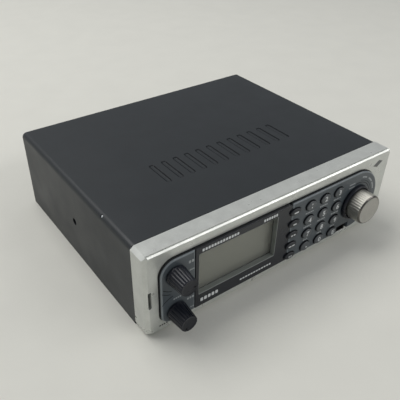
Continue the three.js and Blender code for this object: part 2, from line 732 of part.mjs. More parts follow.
for (const [name, z] of [['squelch', SQUELCH_Z], ['volume', VOLUME_Z]]) {
  part(`${name}_knob`, dialKnob(z), BLACK);
  part(`${name}_shaft`, rodY(DIAL_X, z, SHAFT_RADIUS, DIAL_FRONT + 2.8, 7.9, 20), STEEL);
  part(`${name}_pot`, potentiometer(z), STEEL);
}

part('scroll_collar', scrollCollar(), BLACK);
part('scroll_knob', scrollKnob(), NICKEL);
part('scroll_shaft', rodY(SCROLL_X, SCROLL_Z, SHAFT_RADIUS, SCROLL_FRONT + 2.8, 8.6, 20), STEEL);
part('encoder_rotor', encoderRotor(), BLACK);
part('encoder_body', encoderBody(), STEEL);

for (const key of [...numberKeys, ...functionKeys]) {
  part(key.name, keyCap(key), DARK_GREY);
}

part('key_mat', keyMat(), RUBBER);
part('keypad_pcb', keypadBoard(), BOARD);
part('front_pcb', frontBoard(), BOARD);
part('data_port', dataPort(), BLACK);
part('ribbon_cable', ribbonCable(), WHITE);

part('top_cover', topCover(), CHARCOAL);
part('bottom_cover', bottomCover(), CHARCOAL);
part('rear_panel', rearPanel(), CHARCOAL);
part('left_mount_nut', mountNut(-1), STEEL);
part('right_mount_nut', mountNut(1), STEEL);
bottomScrewPlaces().forEach((place, index) => {
  part(`bottom_screw_${index + 1}`, bottomScrew(place), STEEL);
});

part('antenna_jack', antennaJack(), NICKEL);
part('dc_jack', dcJack(), BLACK);
part('speaker_jack', roundJack(REAR.speaker, 3.6, 1.8, 10), BLACK);
part('record_jack', roundJack(REAR.record, 3.6, 1.8, 10), BLACK);
part('serial_port', serialPort(), NICKEL);
part('power_connector', powerConnector(), WHITE);

part('main_pcb', mainBoard(), BOARD);
part('rf_shield', rfShield(), STEEL);
part('speaker_basket', speakerBasket(), STEEL);
part('speaker_cone', speakerCone(), PAPER);
part('speaker_magnet', speakerMagnet(), STEEL);

// The footprint runs from the front of the scroll knob to the end of the antenna socket.
layout.position.y = -(SCROLL_FRONT + ANTENNA_END) / 2;

export default scanner;
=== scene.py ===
# The looks of a desktop radio receiver (police scanner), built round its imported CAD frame.
# Lengths are in millimetres, measured from the front face of the bezel (Y = 0, the case runs to
# +Y), from the middle of its width and from its base. make_mesh turns them into metres. Only the
# lights are placed in metres, in the frame's own axes.
import math

import bmesh
import bpy
from mathutils import Matrix, Vector
from mathutils.geometry import tessellate_polygon


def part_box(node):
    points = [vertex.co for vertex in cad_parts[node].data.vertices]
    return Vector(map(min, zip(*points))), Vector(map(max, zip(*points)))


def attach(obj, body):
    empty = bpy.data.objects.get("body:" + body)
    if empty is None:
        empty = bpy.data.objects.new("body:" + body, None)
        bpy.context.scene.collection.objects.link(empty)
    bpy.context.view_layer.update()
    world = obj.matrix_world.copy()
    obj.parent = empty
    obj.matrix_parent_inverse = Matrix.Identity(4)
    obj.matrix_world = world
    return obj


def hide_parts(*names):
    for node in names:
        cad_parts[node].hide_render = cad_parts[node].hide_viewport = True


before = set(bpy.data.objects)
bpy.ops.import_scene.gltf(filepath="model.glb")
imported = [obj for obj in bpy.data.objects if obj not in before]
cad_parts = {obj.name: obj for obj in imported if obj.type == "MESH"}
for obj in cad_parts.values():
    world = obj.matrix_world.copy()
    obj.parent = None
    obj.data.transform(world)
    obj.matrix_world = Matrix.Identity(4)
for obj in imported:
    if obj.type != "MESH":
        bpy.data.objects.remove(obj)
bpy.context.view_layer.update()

MM = 0.001
ORIGIN_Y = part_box("front_bezel")[0].y


def span(node):
    """The box of a CAD node in this script's millimetres: x0, x1, y0, y1, z0, z1."""
    low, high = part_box(node)
    return (
        low.x / MM, high.x / MM,
        (low.y - ORIGIN_Y) / MM, (high.y - ORIGIN_Y) / MM,
        low.z / MM, high.z / MM,
    )


def middle(node):
    x0, x1, y0, y1, z0, z1 = span(node)
    return (x0 + x1) / 2, (y0 + y1) / 2, (z0 + z1) / 2


# ------------------------------------------------------------------ camera and lights

CAMERA_PLACE = (-178.8, -158.1, 215.5)
CAMERA_AZIMUTH = -36.98
CAMERA_ELEVATION = 35.23
CAMERA_ROLL = 1.13
CAMERA_LENS = 46.76


def add_camera():
    azimuth = math.radians(CAMERA_AZIMUTH)
    elevation = math.radians(CAMERA_ELEVATION)
    roll = math.radians(CAMERA_ROLL)
    back = Vector((
        math.sin(azimuth) * math.cos(elevation),
        -math.cos(azimuth) * math.cos(elevation),
        math.sin(elevation),
    ))
    level_right = Vector((math.cos(azimuth), math.sin(azimuth), 0))
    level_up = back.cross(level_right)
    right = math.cos(roll) * level_right + math.sin(roll) * level_up
    up = -math.sin(roll) * level_right + math.cos(roll) * level_up
    data = bpy.data.cameras.new("camera")
    data.lens = CAMERA_LENS
    data.sensor_width = 36
    data.clip_start = 0.01
    camera = bpy.data.objects.new("camera", data)
    x, y, z = CAMERA_PLACE
    turn = Matrix((right, up, back)).transposed().to_4x4()
    camera.matrix_world = Matrix.Translation((x * MM, y * MM + ORIGIN_Y, z * MM)) @ turn
    bpy.context.scene.collection.objects.link(camera)
    bpy.context.scene.camera = camera


def add_area_light(name, place, target, size, power, colour):
    data = bpy.data.lights.new(name, "AREA")
    data.shape = "RECTANGLE"
    data.size, data.size_y = size
    data.energy = power
    data.color = colour
    light = bpy.data.objects.new(name, data)
    away = (Vector(place) - Vector(target)).normalized()
    along = Vector((1, 0, 0))
    along = (along - along.dot(away) * away).normalized()
    turn = Matrix((along, away.cross(along), away)).transposed().to_4x4()
    light.matrix_world = Matrix.Translation(place) @ turn
    bpy.context.scene.collection.objects.link(light)


def add_world(colour, strength):
    world = bpy.data.worlds.new("studio")
    world.use_nodes = True
    background = world.node_tree.nodes["Background"]
    background.inputs["Color"].default_value = (*colour, 1)
    background.inputs["Strength"].default_value = strength
    bpy.context.scene.world = world


add_camera()
add_world((0.93, 0.96, 1.0), 0.38)
add_area_light("overhead", (-0.33, 0.57, 1.18), (0, 0, 0), (1.0, 0.8), 10.3, (1.0, 0.99, 0.97))
add_area_light("back_window", (-1.1, 0.9, 0.6), (0, 0, 0.02), (0.6, 0.5), 0.35, (0.96, 0.98, 1.0))
add_area_light("ceiling_strip", (0.68, -0.75, 0.73), (0, 0, 0.05), (0.95, 0.22), 3.1, (1.0, 0.99, 0.98))
bpy.context.scene.view_settings.view_transform = "Standard"

# ------------------------------------------------------------------ materials


def linear(hex_colour):
    """A colour written as on a paint chart, such as "36393b", in Blender's linear values."""
    parts = [int(hex_colour[i:i + 2], 16) / 255 for i in (0, 2, 4)]
    return tuple(p / 12.92 if p <= 0.04045 else ((p + 0.055) / 1.055) ** 2.4 for p in parts)


NOISE_LOW = 0.3
NOISE_HIGH = 0.7


class Surface:
    """A node material whose colour, roughness and height come from noise at real scales."""

    def __init__(self, name, colour, roughness, metallic=0.0, specular=0.5, alpha=1.0):
        self.material = bpy.data.materials.new(name)
        self.material.use_nodes = True
        self.tree = self.material.node_tree
        self.shader = self.tree.nodes["Principled BSDF"]
        self.colour = linear(colour)
        self.shader.inputs["Base Color"].default_value = (*self.colour, 1)
        self.shader.inputs["Roughness"].default_value = roughness
        self.shader.inputs["Metallic"].default_value = metallic
        self.shader.inputs["Specular IOR Level"].default_value = specular
        self.shader.inputs["Alpha"].default_value = alpha
        self.place = self.node("ShaderNodeTexCoord").outputs["Object"]

    def node(self, kind):
        return self.tree.nodes.new(kind)

    def link(self, source, target):
        self.tree.links.new(source, target)

    def stretched(self, stretch):
        """Object coordinates, stretched so that grain runs along an axis."""
        mapping = self.node("ShaderNodeMapping")
        mapping.inputs["Scale"].default_value = stretch
        self.link(self.place, mapping.inputs["Vector"])
        return mapping.outputs["Vector"]

    def noise(self, size_mm, detail, stretch=None):
        noise = self.node("ShaderNodeTexNoise")
        noise.inputs["Scale"].default_value = 1 / (size_mm * MM)
        noise.inputs["Detail"].default_value = detail
        self.link(self.stretched(stretch) if stretch else self.place, noise.inputs["Vector"])
        return noise.outputs["Fac"]

    def remap(self, value, low, high):
        """Spreads the middle values of a noise from low to high."""
        ranged = self.node("ShaderNodeMapRange")
        ranged.inputs["From Min"].default_value = NOISE_LOW
        ranged.inputs["From Max"].default_value = NOISE_HIGH
        ranged.inputs["To Min"].default_value = low
        ranged.inputs["To Max"].default_value = high
        self.link(value, ranged.inputs["Value"])
        return ranged.outputs["Result"]

    def mottle(self, size_mm, amount, detail=4.0, stretch=None):
        """Lets the colour drift lighter and darker by a share of itself."""
        factor = self.remap(self.noise(size_mm, detail, stretch), 1 - amount, 1 + amount)
        scale = self.node("ShaderNodeVectorMath")
        scale.operation = "SCALE"
        source = self.shader.inputs["Base Color"]
        if source.is_linked:
            self.link(source.links[0].from_socket, scale.inputs[0])
        else:
            scale.inputs[0].default_value = self.colour
        self.link(factor, scale.inputs["Scale"])
        self.link(scale.outputs["Vector"], self.shader.inputs["Base Color"])
        return self

    def smudge(self, size_mm, low, high):
        """Lets the roughness drift, as handling and uneven paint do."""
        self.link(self.remap(self.noise(size_mm, 2.0), low, high), self.shader.inputs["Roughness"])
        return self

    def grain(self, size_mm, depth_mm, detail=2.0, stretch=None):
        """Fine relief of a real depth."""
        bump = self.node("ShaderNodeBump")
        bump.inputs["Distance"].default_value = depth_mm * MM
        self.link(self.noise(size_mm, detail, stretch), bump.inputs["Height"])
        self.link(bump.outputs["Normal"], self.shader.inputs["Normal"])
        return self


silver_paint = (
    Surface("silver_paint", "cdcfca", 0.3, metallic=0.5)
    .mottle(6, 0.05).mottle(0.9, 0.03).smudge(9, 0.26, 0.36).grain(0.6, 0.003)
    .material
)
charcoal = (
    Surface("charcoal_coat", "23272a", 0.44, specular=0.4)
    .mottle(14, 0.05).mottle(0.8, 0.08).smudge(20, 0.4, 0.48).grain(0.45, 0.03, detail=3.0)
    .material
)
fascia_grey = (
    Surface("fascia_grey", "4b5257", 0.36)
    .mottle(5, 0.06).mottle(0.6, 0.08).smudge(8, 0.32, 0.42).grain(0.3, 0.015)
    .material
)
# Painted highlight: a lighter grey for the rounded front edge of the raised panels, where light catches it.
fascia_rim_highlight = Surface("fascia_rim_highlight", "767d81", 0.22).mottle(3, 0.06).grain(0.3, 0.006).material
# Painted shade: a darker colour for the sloping sides of the pressed ribs on the top cover.
rib_slope_shade = (
    Surface("rib_slope_shade", "14171a", 0.75, specular=0.15)
    .mottle(3, 0.08).grain(0.45, 0.02)
    .material
)
frame_black = (
    Surface("frame_black", "1b1e25", 0.22)
    .mottle(4, 0.08).smudge(10, 0.18, 0.28).grain(0.3, 0.004)
    .material
)
liner_grey = Surface("liner_grey", "7b7f7a", 0.4).mottle(3, 0.06).grain(0.3, 0.01).material
lit_edge = Surface("lit_edge", "8b8f8c", 0.3).mottle(3, 0.06).grain(0.3, 0.006).material
key_side = Surface("key_side", "131519", 0.35).mottle(2, 0.08).grain(0.25, 0.006).material
key_grey = (
    Surface("key_grey", "4f5356", 0.26)
    .mottle(2, 0.06).smudge(3, 0.26, 0.38).grain(0.25, 0.006)
    .material
)
key_black = (
    Surface("key_black", "24272c", 0.28)
    .mottle(2, 0.08).smudge(3, 0.28, 0.4).grain(0.25, 0.006)
    .material
)
knob_black = (
    Surface("knob_black", "0d111c", 0.3, specular=0.35)
    .mottle(2, 0.1).smudge(4, 0.26, 0.36).grain(0.25, 0.004)
    .material
)
knob_silver = (
    Surface("knob_silver", "b9b7b0", 0.33, metallic=1.0)
    .mottle(3, 0.05).smudge(4, 0.29, 0.38).grain(0.3, 0.004)
    .material
)
knob_face = Surface("knob_face", "b0aea8", 0.42, metallic=0.6).mottle(2, 0.05).grain(0.2, 0.01).material
polished = (
    Surface("polished_rim", "6a6864", 0.08, metallic=1.0)
    .mottle(3, 0.04).smudge(4, 0.07, 0.13)
    .material
)
lcd_olive = (
    Surface("lcd_olive", "67675b", 0.25)
    .mottle(25, 0.04).mottle(1.2, 0.02).grain(0.6, 0.002)
    .material
)
lcd_shade = Surface("lcd_shade", "54544b", 0.3).mottle(3, 0.05).material
lens_clear = Surface("lens_clear", "d8dad2", 0.04, alpha=0.12).mottle(12, 0.03).material
print_white = Surface("print_white", "d5d8d8", 0.5).mottle(0.6, 0.06).material
print_grey = Surface("print_grey", "a3a7a8", 0.5).mottle(0.6, 0.08).material
badge_grey = Surface("badge_grey", "5d605f", 0.4).mottle(0.8, 0.12).material
# Painted shade for the walls of slots, wells, dimples, reliefs and the gaps round the raised panels; also
# the colour of some dark print.
shade_and_dark_print = Surface("shade_and_dark_print", "1b1d20", 0.7).mottle(1.0, 0.1).material
steel = (
    Surface("zinc_steel", "b4b7ba", 0.32, metallic=0.95)
    .mottle(3, 0.07).smudge(5, 0.26, 0.4).grain(0.4, 0.006, stretch=(1, 6, 1))
    .material
)
nickel = Surface("nickel_plate", "c8c5bd", 0.2, metallic=1.0).mottle(4, 0.04).smudge(4, 0.16, 0.28).material
plastic_black = Surface("black_plastic", "101113", 0.42).mottle(2, 0.1).grain(0.3, 0.012).material
plastic_white = Surface("white_plastic", "dcd9cf", 0.45).mottle(3, 0.03).grain(0.3, 0.01).material
board_green = (
    Surface("board_green", "1c5535", 0.35)
    .mottle(4, 0.15).mottle(0.7, 0.2, stretch=(1, 5, 1)).grain(0.8, 0.02)
    .material
)
rubber_grey = Surface("rubber_grey", "2c2c2e", 0.8).mottle(2, 0.08).grain(0.4, 0.02).material
cone_paper = Surface("cone_paper", "1c1b1a", 0.9).mottle(1.5, 0.15).grain(0.5, 0.06).material
magnet_grey = Surface("magnet_grey", "3a3937", 0.6).mottle(2, 0.12).grain(0.5, 0.03).material
floor_pale = Surface("floor_pale", "d9d8d0", 0.9).mottle(30, 0.015).grain(2.0, 0.05).material

# ------------------------------------------------------------------ meshes


class Build:
    """Collects the vertices and faces of one closed piece, in millimetres."""

    def __init__(self):
        self.points = []
        self.faces = []
        self.marks = []
        self.mark = 0

    def ring(self, points):
        start = len(self.points)
        self.points.extend(points)
        return list(range(start, start + len(points)))

    def face(self, *corners):
        self.faces.append(corners)
        self.marks.append(self.mark)

    def bridge(self, one, two, closed=True):
        count = len(one)
        for i in range(count if closed else count - 1):
            j = (i + 1) % count
            self.face(one[i], one[j], two[j], two[i])

    def fan(self, ring, centre):
        middle_point = self.ring([centre])[0]
        for i, corner in enumerate(ring):
            self.face(corner, ring[(i + 1) % len(ring)], middle_point)

    def cap(self, *rings):
        """Fills the flat space between an outer ring and any rings inside it."""
        corners = [corner for ring in rings for corner in ring]
        loops = [[Vector(self.points[corner]) for corner in ring] for ring in rings]
        for triangle in tessellate_polygon(loops):
            self.face(*(corners[i] for i in triangle))


SHARP_ANGLE = 38
FLAT_ANGLE = 0.2
WELD_GAP = 1e-7
SLIVER = 2e-6


def make_mesh(name, build, materials, sharp_angle=SHARP_ANGLE):
    mesh = bpy.data.meshes.new(name)
    places = [(x * MM, y * MM + ORIGIN_Y, z * MM) for x, y, z in build.points]
    mesh.from_pydata(places, [], build.faces)
    for material in materials:
        mesh.materials.append(material)
    mesh.polygons.foreach_set("material_index", build.marks)
    tidy_mesh(mesh, sharp_angle)
    piece = bpy.data.objects.new(name, mesh)
    bpy.context.scene.collection.objects.link(piece)
    return piece


def tidy_mesh(mesh, sharp_angle):
    shaped = bmesh.new()
    shaped.from_mesh(mesh)
    bmesh.ops.remove_doubles(shaped, verts=shaped.verts, dist=WELD_GAP)
    bmesh.ops.dissolve_degenerate(shaped, edges=shaped.edges, dist=WELD_GAP)
    bmesh.ops.recalc_face_normals(shaped, faces=shaped.faces)
    shaped.to_mesh(mesh)
    shaped.free()
    mesh.shade_smooth()
    mesh.set_sharp_from_angle(angle=math.radians(sharp_angle))


def finish(piece, body, slot, *nodes):
    """Keeps wide faces flat beside their rounded edges, and ties the piece to the frame."""
    weighted = piece.modifiers.new("flat_faces", "WEIGHTED_NORMAL")
    weighted.keep_sharp = True
    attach(piece, body)
    if nodes:
        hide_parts(*nodes)


def carve(piece, cutters):
    """Cuts closed cutter pieces out of a piece, for good, and removes them."""
    for cutter in cutters:
        modifier = piece.modifiers.new("cut", "BOOLEAN")
        modifier.operation = "DIFFERENCE"
        modifier.solver = "EXACT"
        modifier.object = cutter
    bpy.context.view_layer.update()
    evaluated = piece.evaluated_get(bpy.context.evaluated_depsgraph_get())
    carved = bpy.data.meshes.new_from_object(evaluated)
    piece.modifiers.clear()
    piece.data = carved
    for cutter in cutters:
        bpy.data.objects.remove(cutter)
    merge_flat(carved)
    tidy_mesh(carved, SHARP_ANGLE)


def merge_flat(mesh):
    """Joins the flat slivers that a cut leaves, so that wide faces shade evenly."""
    shaped = bmesh.new()
    shaped.from_mesh(mesh)
    bmesh.ops.remove_doubles(shaped, verts=shaped.verts, dist=SLIVER)
    bmesh.ops.dissolve_limit(
        shaped,
        angle_limit=math.radians(FLAT_ANGLE),
        verts=shaped.verts,
        edges=shaped.edges,
        delimit={"MATERIAL"},
    )
    bmesh.ops.dissolve_degenerate(shaped, edges=shaped.edges, dist=SLIVER)
    shaped.to_mesh(mesh)
    shaped.free()


def arc(x, z, radius_x, radius_z, start, end, steps):
    """Points of an arc in X and Z; angles in degrees, anticlockwise from +X."""
    points = []
    for i in range(steps + 1):
        angle = math.radians(start + (end - start) * i / steps)
        points.append((x + radius_x * math.cos(angle), z + radius_z * math.sin(angle)))
    return points


def rounded(x0, x1, z0, z1, radius, steps=6):
    """A rounded rectangle, anticlockwise seen from the front."""
    return (
        arc(x0 + radius, z0 + radius, radius, radius, 180, 270, steps)
        + arc(x1 - radius, z0 + radius, radius, radius, 270, 360, steps)
        + arc(x1 - radius, z1 - radius, radius, radius, 0, 90, steps)
        + arc(x0 + radius, z1 - radius, radius, radius, 90, 180, steps)
    )


def oval(x, z, half_x, half_z, steps=48):
    return arc(x, z, half_x, half_z, 0, 360, steps)[:-1]


def normals_of(outline):
    """Outward directions at the points of an anticlockwise outline, longer at its corners."""
    count = len(outline)
    normals = []
    for i in range(count):
        before = Vector(outline[i]) - Vector(outline[i - 1])
        after = Vector(outline[(i + 1) % count]) - Vector(outline[i])
        before.normalize()
        after.normalize()
        normal = Vector((before.y + after.y, -before.x - after.x)).normalized()
        across = max(normal.dot(Vector((after.y, -after.x))), 0.5)
        normals.append(normal / across)
    return normals


# The profiles of a shaped edge, as shares of its size: how far in, and how far back.
ROUND = [(1 - math.cos(math.radians(18 * k)), 1 - math.sin(math.radians(18 * k))) for k in range(6)]
CHAMFER = [(0, 1), (0.02, 0.91), (0.09, 0.83), (0.83, 0.09), (0.91, 0.02), (1, 0)]


def wall(build, outline, y_front, y_back, front_edge, inward=-1, shape=ROUND, edge_mark=None):
    """Adds the wall along an outline, its front edge shaped, and returns its front and back rings.

    inward is -1 where the material lies inside the outline and 1 where it lies outside, as it
    does round a hole. front_edge may be a number or a function of a point's outward direction.
    """
    normals = normals_of(outline)
    radius_at = front_edge if callable(front_edge) else lambda normal: front_edge
    rings = [build.ring([(x, y_back, z) for x, z in outline])]
    for inset, depth in shape:
        points = []
        for (x, z), normal in zip(outline, normals):
            radius = radius_at(normal)
            shift = inward * inset * radius
            points.append((x + shift * normal.x, y_front + depth * radius, z + shift * normal.y))
        rings.append(build.ring(points))
    wall_mark = build.mark
    for index, (one, two) in enumerate(zip(rings, rings[1:])):
        if edge_mark is not None and index > 0:
            build.mark = edge_mark
        build.bridge(one, two)
    build.mark = wall_mark
    return rings[-1], rings[0]


def plate(outline, y_front, y_back, edge, holes=(), hole_edge=0.2, rim_marks=(0, 0), hole_marks=(0, 0)):
    """A closed plate with holes through it, all its front edges rounded.

    rim_marks are the materials of its outer wall and front edge; hole_marks those of a hole's.
    """
    build = Build()
    fronts, backs = [], []
    build.mark, edge_mark = rim_marks
    front, back = wall(build, outline, y_front, y_back, edge, edge_mark=edge_mark)
    fronts.append(front)
    backs.append(back)
    build.mark, edge_mark = hole_marks
    for hole in holes:
        front, back = wall(build, hole, y_front, y_back, hole_edge, 1, edge_mark=edge_mark)
        fronts.append(front)
        backs.append(back)
    build.mark = 0
    build.cap(*fronts)
    build.cap(*backs)
    return build


def turned(x, z, profile, steps):
    """A turned solid about an axis along Y; profile points are (radius, y), closed by fans."""
    build = Build()
    rings = []
    for radius, y in profile:
        rings.append(build.ring([(px, y, pz) for px, pz in oval(x, z, radius, radius, steps)]))
    for one, two in zip(rings, rings[1:]):
        build.bridge(one, two)
    build.fan(rings[0], (x, profile[0][1], z))
    build.fan(rings[-1], (x, profile[-1][1], z))
    return build


def box_build(x0, x1, y0, y1, z0, z1):
    return plate([(x0, z0), (x1, z0), (x1, z1), (x0, z1)], y0, y1, 0)


# ------------------------------------------------------------------ front bezel

FASCIA_LEFT, _, FASCIA_FRONT, _, FASCIA_BOTTOM, FASCIA_TOP = span("knob_fascia")
SCROLL_X, _, SCROLL_Z = middle("scroll_knob")
FASCIA_UPPER_CORNER = 9
FASCIA_LOWER_CORNER = 6
POCKET = (48.0, 58.7, 5.0, 12.0)
POCKET_SILL = 46.3
POCKET_CORNER = 0.5
BEZEL_SKIN = 1.5
BEZEL_FRONT_WALL = 2.8
BEZEL_WIDE_EDGE = 2.4
BEZEL_TOP_EDGE = 0.85
BEZEL_FOOT_CORNER = 3.5
BEZEL_CORNER_WIDTH = 2.3
BEZEL_CORNER_HEIGHT = 1.8
WINDOW_GAP = 0.3
WINDOW_EDGE = 0.35
SLOT_X = -89.4
SLOT_HALF = 0.85
SLOT_LOW = 20.7
SLOT_HIGH = 32.0
GROOVE_INSET = 1.1
GROOVE_WIDTH = 0.6
GROOVE_SINK = 0.5


def fascia_outline(grow):
    """The outline of the raised panel, or one drawn evenly round it."""
    left, bottom, top = FASCIA_LEFT - grow, FASCIA_BOTTOM - grow, FASCIA_TOP + grow
    end = (top - bottom) / 2
    upper, lower = FASCIA_UPPER_CORNER + grow, FASCIA_LOWER_CORNER + grow
    return (
        arc(left + lower, bottom + lower, lower, lower, 180, 270, 10)
        + arc(SCROLL_X, bottom + end, end, end, -90, 90, 48)
        + arc(left + upper, top - upper, upper, upper, 90, 180, 14)
    )


def bezel_edge(normal):
    """The size of the bezel's front edge: narrow along the top, wide elsewhere."""
    side = abs(normal.x) / normal.length
    upright = BEZEL_TOP_EDGE if normal.y > 0 else BEZEL_WIDE_EDGE
    return (BEZEL_WIDE_EDGE * side * side + upright * (1 - side * side)) / normal.length


def make_bezel():
    x0, x1, y0, y1, z0, z1 = span("front_bezel")
    foot = BEZEL_FOOT_CORNER
    corners = arc(x0 + foot, z0 + foot, foot, foot, 180, 270, 8)
    corners += arc(x1 - foot, z0 + foot, foot, foot, 270, 360, 8)
    corners += [(x1, z1 - BEZEL_CORNER_HEIGHT), (x1 - BEZEL_CORNER_WIDTH, z1)]
    corners += [(x0 + BEZEL_CORNER_WIDTH, z1), (x0, z1 - BEZEL_CORNER_HEIGHT)]
    build = Build()
    front, back = wall(build, corners, y0, y1, bezel_edge, shape=CHAMFER)
    window = notched_window(WINDOW_GAP)
    hole_front, hole_back = wall(build, window, y0, BEZEL_FRONT_WALL, WINDOW_EDGE, 1)
    build.cap(front, hole_front)
    skin = BEZEL_SKIN
    inside = rounded(x0 + skin, x1 - skin, z0 + skin, z1 - skin, skin)
    cavity_front = build.ring([(x, BEZEL_FRONT_WALL, z) for x, z in inside])
    cavity_back = build.ring([(x, y1, z) for x, z in inside])
    build.cap(cavity_front, hole_back)
    build.bridge(cavity_front, cavity_back)
    build.cap(back, cavity_back)
    piece = make_mesh("bezel_shell", build, [silver_paint])
    slot = rounded(SLOT_X - SLOT_HALF, SLOT_X + SLOT_HALF, SLOT_LOW, SLOT_HIGH, 0.5, steps=4)
    # The slot's cutter carries the near-black painted shade meant for the slot's walls.
    cutters = [make_mesh("slot_cutter", plate(slot, -1, 4, 0), [shade_and_dark_print])]
    cutters.extend(groove_cutters(x1, y1, z1))
    carve(piece, cutters)
    finish(piece, "root", "silver_paint", "front_bezel")


def notched_window(grow):
    """The panel's outline with the small port pocket let into its lower edge."""
    _, right, low, _ = POCKET
    left = POCKET_SILL
    corner = POCKET_CORNER
    bottom = FASCIA_BOTTOM - grow
    points = fascia_outline(grow)
    lower_start = next(i for i, (x, _) in enumerate(points) if x > 0)
    pocket = [(left, bottom), (left, low + corner), (left + corner, low)]
    pocket += [(right - corner, low), (right, low + corner), (right, bottom)]
    return points[:lower_start] + pocket + points[lower_start:]


def groove_cutters(half_width, depth, top):
    """A fine groove on the top face, just inside its front, left and right edges."""
    half = half_width - GROOVE_INSET
    bars = [
        (-half, half, GROOVE_INSET, GROOVE_INSET + GROOVE_WIDTH),
        (-half, -half + GROOVE_WIDTH, GROOVE_INSET, depth + 1),
        (half - GROOVE_WIDTH, half, GROOVE_INSET, depth + 1),
    ]
    cutters = []
    for i, (x0, x1, y0, y1) in enumerate(bars):
        bar_shape = box_build(x0, x1, y0, y1, top - GROOVE_SINK, top + 1)
        # The cutters carry the near-black painted shade meant for the groove's walls.
        cutters.append(make_mesh(f"groove_cutter_{i}", bar_shape, [shade_and_dark_print]))
    return cutters


make_bezel()

# ------------------------------------------------------------------ raised panel

NUMBER_KEYS = ["1", "2", "3", "4", "5", "6", "7", "8", "9", "dot", "0", "enter"]
FUNCTION_KEYS = [f"fn_{i}" for i in range(1, 6)]
KEY_LIP = 0.8
KEY_PLAY = 0.35
DIAL_X, _, SQUELCH_Z = middle("squelch_knob")
VOLUME_Z = middle("volume_knob")[2]
PANEL_EDGE = 0.8
DIAL_HOLE = 4.0
SCROLL_HOLE = 5.0
FRAME_CORNER = 2.0
FRAME_REACH = 0.7
LEDGE_GAP = 0.3


def key_half(node):
    """Half the width and height of a key's head, without its side lips."""
    x0, x1, _, _, z0, z1 = span(node)
    return (x1 - x0) / 2 - KEY_LIP, (z1 - z0) / 2


def well(node):
    x, _, z = middle(node)
    half_x, half_z = key_half(node)
    return oval(x, z, half_x + KEY_PLAY, half_z + KEY_PLAY, 44)


def clipped(outline, x_low, x_high):
    """The part of an outline between two upright seams."""
    points = outline
    for limit, keep_above in ((x_low, True), (x_high, False)):
        kept = []
        for i, (x, z) in enumerate(points):
            px, pz = points[i - 1]
            inside = x >= limit if keep_above else x <= limit
            was_inside = px >= limit if keep_above else px <= limit
            if inside != was_inside:
                share = (limit - px) / (x - px)
                kept.append((limit, pz + share * (z - pz)))
            if inside:
                kept.append((x, z))
        points = kept
    return points


def make_knob_fascia():
    x0, x1, y0, y1, _, _ = span("knob_fascia")
    outline = clipped(fascia_outline(0), x0 - 1, x1)
    holes = [oval(DIAL_X, z, DIAL_HOLE, DIAL_HOLE) for z in (SQUELCH_Z, VOLUME_Z)]
    # The outer wall is painted near black, painted shade of the gap round the panel, and the front edge
    # takes the lighter painted highlight.
    build = plate(outline, y0, y1, PANEL_EDGE, holes, 0.3, rim_marks=(1, 2))
    panel = make_mesh("knob_panel", build, [fascia_grey, shade_and_dark_print, fascia_rim_highlight])
    finish(panel, "root", "fascia_grey", "knob_fascia")


def make_keypad_fascia():
    x0, x1, y0, y1, _, _ = span("keypad_fascia")
    holes = [oval(SCROLL_X, SCROLL_Z, SCROLL_HOLE, SCROLL_HOLE)]
    holes += [well(f"key_{k}") for k in NUMBER_KEYS]
    outline = clipped(fascia_outline(0), x0, x1 + 1)
    # As on the knob panel: painted shade on the outer wall and in the key wells, and a painted highlight on
    # the front edge.
    whole = plate(outline, y0, y1, PANEL_EDGE, holes, 0.25, rim_marks=(1, 2), hole_marks=(1, 0))
    piece = make_mesh("keypad_panel", whole, [fascia_grey, shade_and_dark_print, fascia_rim_highlight])
    left, right, low, high = POCKET
    pocket = box_build(left, right, y0 - 1, y1 + 1, low - 3, high)
    cutters = [make_mesh("pocket_cutter", pocket, [fascia_grey])]
    cutters += well_cutters(y0, y1, fascia_grey)
    carve(piece, cutters)
    finish(piece, "root", "fascia_grey", "keypad_fascia")


def well_cutters(y_front, y_back, material):
    """Cutters for the function keys' wells, which lie across the seam of two panels."""
    cutters = []
    for label in FUNCTION_KEYS:
        shape = plate(well(f"key_{label}"), y_front - 1, y_back + 1, 0)
        cutters.append(make_mesh(f"well_cutter_{label}", shape, [material]))
    return cutters


def make_display_frame():
    x0, x1, y0, y1, _, _ = span("display_frame")
    lens_x0, lens_x1, lens_front, _, lens_z0, lens_z1 = span("display_lens")
    left, right = lens_x0 + FRAME_REACH, lens_x1 - FRAME_REACH
    low, high = lens_z0 + FRAME_REACH, lens_z1 - FRAME_REACH
    window = rounded(left, right, low, high, 0.5, steps=4)
    outline = clipped(fascia_outline(0), x0, x1)
    # The outer wall takes the near-black painted shade of the gap round the panel.
    whole = plate(outline, y0, y1, 0.5, [window], 0.22, rim_marks=(3, 0), hole_marks=(1, 2))
    piece = make_mesh("display_surround", whole, [frame_black, liner_grey, lit_edge, shade_and_dark_print])
    cutters = well_cutters(y0, y1, frame_black)
    corner = FRAME_CORNER
    outside = arc(x1 - corner, FASCIA_TOP - corner, corner, corner, 90, 0, 8)
    outside += [(x1 + 1, FASCIA_TOP - corner), (x1 + 1, FASCIA_TOP + 1), (x1 - corner, FASCIA_TOP + 1)]
    cutters.append(make_mesh("corner_cutter", plate(outside[::-1], y0 - 1, y1 + 1, 0), [frame_black]))
    ledge = box_build(left - 1, right + 1, lens_front - LEDGE_GAP, y1 + 1, low - 1, high + 1)
    cutters.append(make_mesh("ledge_cutter", ledge, [frame_black]))
    carve(piece, cutters)
    finish(piece, "root", "frame_black", "display_frame")


make_knob_fascia()
make_keypad_fascia()
make_display_frame()

# ------------------------------------------------------------------ keys

KEY_DOME = 0.22
KEY_RIM = 0.55
KEY_RIM_SLOPE = 0.45
KEY_LIP_FRONT = 0.3
CROWN_SHARES = (0.15, 0.35, 0.55, 0.72)
RIM_STEPS = 5
TOP_RINGS = 7


def crown(x, z, cx, cz, half_x, half_z, head):
    """The gently domed top of a key, as a depth at a point."""
    reach = ((x - cx) / half_x) ** 2 + ((z - cz) / half_z) ** 2
    return head + KEY_DOME * reach


